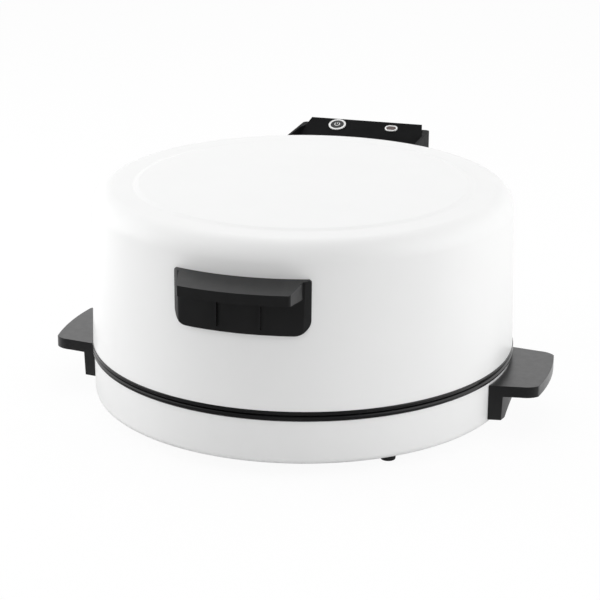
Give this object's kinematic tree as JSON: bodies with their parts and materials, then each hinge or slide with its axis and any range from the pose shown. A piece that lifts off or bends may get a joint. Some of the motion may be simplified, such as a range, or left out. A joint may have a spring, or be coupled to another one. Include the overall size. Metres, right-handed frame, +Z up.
{
  "type": "electric pizza maker",
  "caption": "Round countertop pizza maker: shallow heated base with a baking plate under a tall domed lid on a rear hinge, with a front grip, side handles and a rear control housing.",
  "frame": {"origin": "middle of the overall footprint, on the surface that the feet stand on", "axes": "+X to the right seen from the front, -Y to the front where the lid handle is, +Y to the hinge, +Z up"},
  "size_m": [0.502, 0.488, 0.2258],
  "materials": {
    "white_paint": "smooth satin white paint",
    "coated_plate": "black non-stick coating, fine texture",
    "rim_black": "glossy black",
    "handle_black": "black heat-resistant plastic, satin",
    "button_black": "smooth black",
    "foot_rubber": "matt black rubber",
    "heater_tube": "heat-darkened steel sheath",
    "liner_aluminium": "bright rolled sheet",
    "plain_steel": "zinc-plated",
    "white_ceramic": "unglazed white",
    "mineral_wool": "pressed fibre",
    "lead_sleeve": "woven sleeve, matt",
    "earth_green": "satin",
    "bezel_white": "smooth white",
    "lamp_lens": "translucent",
    "board_green": "glass-fibre board",
    "component_dark": "moulded"
  },
  "bodies": {
    "base": {"base_shell": "white_paint", "baking_plate": "coated_plate", "lower_heater": "heater_tube", "lower_heater_clamps": "plain_steel", "clamp_screws": "plain_steel", "lower_reflector": "liner_aluminium", "plate_thermostat": "white_ceramic", "thermostat_screws": "plain_steel", "thermal_fuse": "plain_steel", "plate_posts": "plain_steel", "post_screws": "plain_steel", "feet": "foot_rubber", "foot_screws": "plain_steel", "foot_nuts": "plain_steel", "side_handle_left": "handle_black", "side_handle_right": "handle_black", "side_handle_screws": "plain_steel", "hinge_bracket": "plain_steel", "bracket_rivets": "plain_steel", "hinge_pins": "plain_steel", "pin_clips": "plain_steel", "rear_cover_lower": "handle_black", "lower_cover_screws": "plain_steel", "cord_gland": "handle_black", "terminal_block": "white_ceramic", "wall_grommet": "foot_rubber", "lower_leads": "lead_sleeve", "earth_lead": "earth_green", "earth_screw": "plain_steel", "supply_lead_lower": "lead_sleeve"},
    "lid": {"lid_shell": "white_paint", "lid_trim_ring": "rim_black", "lid_liner": "liner_aluminium", "lid_insulation": "mineral_wool", "upper_heater": "heater_tube", "heater_bushings": "white_ceramic", "upper_heater_hangers": "plain_steel", "lid_handle": "handle_black", "lid_handle_screws": "plain_steel", "hinge_arms": "plain_steel", "arm_rivets": "plain_steel", "rear_housing_upper": "handle_black", "upper_housing_screws": "plain_steel", "control_panel": "handle_black", "button_bezel": "bezel_white", "pilot_bezel": "bezel_white", "pilot_lens": "lamp_lens", "control_board": "board_green", "board_switch": "component_dark", "board_relay": "component_dark", "board_lamp": "lamp_lens", "board_screws": "plain_steel", "upper_leads": "lead_sleeve", "supply_lead_upper": "lead_sleeve"},
    "button": {"power_button": "button_black"}
  },
  "joints": [
    {"name": "lid_hinge", "type": "hinge", "parent": "base", "child": "lid", "pos_m": [0, 0.22, 0.062], "axis": [-1, 0, 0], "range_deg": [0, 95]},
    {"name": "button_press", "type": "slide", "parent": "lid", "child": "button", "axis": [0, 0.3665, -0.9304], "range_m": [0, 0.0025], "stiffness_N_per_m": 400, "springref_m": -0.002}
  ]
}
